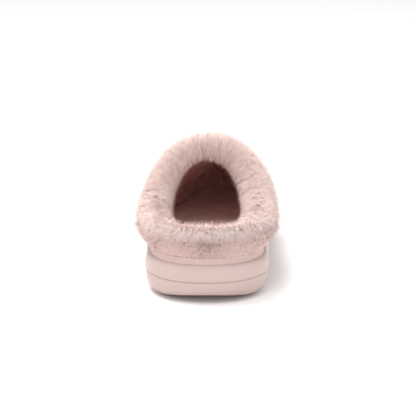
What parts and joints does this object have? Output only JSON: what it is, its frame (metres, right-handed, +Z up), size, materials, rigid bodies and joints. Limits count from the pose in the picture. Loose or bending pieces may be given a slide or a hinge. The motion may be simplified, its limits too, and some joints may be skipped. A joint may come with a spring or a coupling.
{
  "type": "fluffy house slipper",
  "caption": "Closed-toe fluffy house slipper with a round fur collar, a low furry back, a plush footbed and a thick two-tier foam sole.",
  "frame": {"origin": "on the ground, under the middle of the slipper's bounding box", "axes": "+Y from the heel to the toe, +X to the inner side of the foot, +Z up"},
  "size_m": [0.1076, 0.268, 0.1014],
  "materials": {
    "fur_pink": "long soft pile",
    "eva_pink": "satin moulded foam",
    "rand_pink": "ribbed tape",
    "lining_fabric": "short matte pile",
    "heel_plush": "soft plush",
    "footbed_plush": "soft plush",
    "foam_white": "open-cell foam",
    "board_brown": "pressed fibre board",
    "backing_grey": "stiff non-woven",
    "cord_white": "soft filler cord",
    "thread_pink": "twisted thread"
  },
  "bodies": {
    "root": {"outsole": "eva_pink", "midsole": "eva_pink", "rand": "rand_pink", "vamp_fur": "fur_pink", "heel_fur": "fur_pink", "collar_fur": "fur_pink", "heel_collar_fur": "fur_pink", "vamp_lining_left": "lining_fabric", "vamp_lining_right": "lining_fabric", "heel_lining": "heel_plush", "footbed_plush": "footbed_plush", "footbed_foam": "foam_white", "insole_board": "board_brown", "vamp_foam": "foam_white", "heel_foam": "foam_white", "toe_puff": "backing_grey", "heel_counter": "backing_grey", "vamp_backing": "backing_grey", "collar_cord": "cord_white", "heel_collar_cord": "cord_white", "lining_seam": "thread_pink", "quarter_seam_left": "thread_pink", "quarter_seam_right": "thread_pink"}
  },
  "joints": []
}
